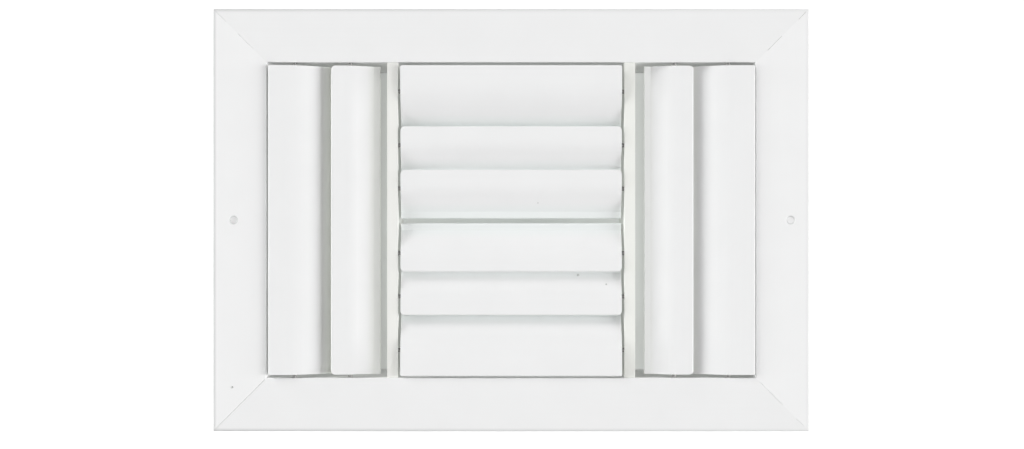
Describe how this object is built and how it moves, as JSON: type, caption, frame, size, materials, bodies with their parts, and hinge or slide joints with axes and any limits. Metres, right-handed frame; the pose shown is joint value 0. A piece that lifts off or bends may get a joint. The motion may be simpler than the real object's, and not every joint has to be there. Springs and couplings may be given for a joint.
{
  "type": "ceiling air register",
  "caption": "Rectangular ceiling air register with a flat mitred frame, two dividers and curved blades that turn one by one to throw air four ways.",
  "frame": {"origin": "centre of the air opening, on the ceiling plane that the flange's lip meets", "axes": "+Z out of the face, into the room, so it points down once the vent is up; -Z into the duct; +X along the long side, to the right in the picture; +Y up in the picture. As modelled the vent lies on the rim of its neck, face up"},
  "size_m": [0.3492, 0.2476, 0.0476],
  "materials": {
    "frame_white": "white powder coat on extruded aluminium, satin",
    "blade_white": "white powder coat on extruded aluminium, satin",
    "divider_white": "warm white powder coat on extruded aluminium, satin",
    "bare_metal": "bare mill finish",
    "screw_steel": "zinc plated"
  },
  "bodies": {
    "frame": {"rail_top": "frame_white", "rail_bottom": "frame_white", "rail_left": "frame_white", "rail_right": "frame_white", "corner_key_top_left": "bare_metal", "corner_key_top_right": "bare_metal", "corner_key_bottom_left": "bare_metal", "corner_key_bottom_right": "bare_metal", "divider_left": "divider_white", "divider_right": "divider_white", "screws_left": "screw_steel", "screws_right": "screw_steel"},
    "left_outer": {"blade_left_outer": "blade_white", "pins_left_outer": "bare_metal"},
    "left_inner": {"blade_left_inner": "blade_white", "pins_left_inner": "bare_metal"},
    "right_inner": {"blade_right_inner": "blade_white", "pins_right_inner": "bare_metal"},
    "right_outer": {"blade_right_outer": "blade_white", "pins_right_outer": "bare_metal"},
    "level_1": {"blade_level_1": "blade_white", "pins_level_1": "bare_metal"},
    "level_2": {"blade_level_2": "blade_white", "pins_level_2": "bare_metal"},
    "level_3": {"blade_level_3": "blade_white", "pins_level_3": "bare_metal"},
    "level_4": {"blade_level_4": "blade_white", "pins_level_4": "bare_metal"},
    "level_5": {"blade_level_5": "blade_white", "pins_level_5": "bare_metal"},
    "level_6": {"blade_level_6": "blade_white", "pins_level_6": "bare_metal"}
  },
  "joints": [
    {"name": "left_outer_turn", "type": "hinge", "parent": "frame", "child": "left_outer", "pos_m": [-0.12712, 0, 0.0013], "axis": [0, 1, 0], "range_deg": [-7.5, 41.5]},
    {"name": "left_inner_turn", "type": "hinge", "parent": "frame", "child": "left_inner", "pos_m": [-0.09453, 0, 0.0013], "axis": [0, 1, 0], "range_deg": [-5, 44]},
    {"name": "right_inner_turn", "type": "hinge", "parent": "frame", "child": "right_inner", "pos_m": [0.09573, 0, 0.0013], "axis": [0, -1, 0], "range_deg": [-1, 48]},
    {"name": "right_outer_turn", "type": "hinge", "parent": "frame", "child": "right_outer", "pos_m": [0.12752, 0, 0.0013], "axis": [0, -1, 0], "range_deg": [-2.5, 46.5]},
    {"name": "level_1_turn", "type": "hinge", "parent": "frame", "child": "level_1", "pos_m": [0, 0.07558, 0.0013], "axis": [1, 0, 0], "range_deg": [-4, 45]},
    {"name": "level_2_turn", "type": "hinge", "parent": "frame", "child": "level_2", "pos_m": [0, 0.04403, 0.0013], "axis": [1, 0, 0], "range_deg": [-4, 45]},
    {"name": "level_3_turn", "type": "hinge", "parent": "frame", "child": "level_3", "pos_m": [0, 0.01855, 0.0013], "axis": [1, 0, 0], "range_deg": [-4, 45]},
    {"name": "level_4_turn", "type": "hinge", "parent": "frame", "child": "level_4", "pos_m": [0, -0.0193, 0.0013], "axis": [-1, 0, 0], "range_deg": [-4, 45]},
    {"name": "level_5_turn", "type": "hinge", "parent": "frame", "child": "level_5", "pos_m": [0, -0.04478, 0.0013], "axis": [-1, 0, 0], "range_deg": [-4, 45]},
    {"name": "level_6_turn", "type": "hinge", "parent": "frame", "child": "level_6", "pos_m": [0, -0.07633, 0.0013], "axis": [-1, 0, 0], "range_deg": [-4, 45]}
  ]
}
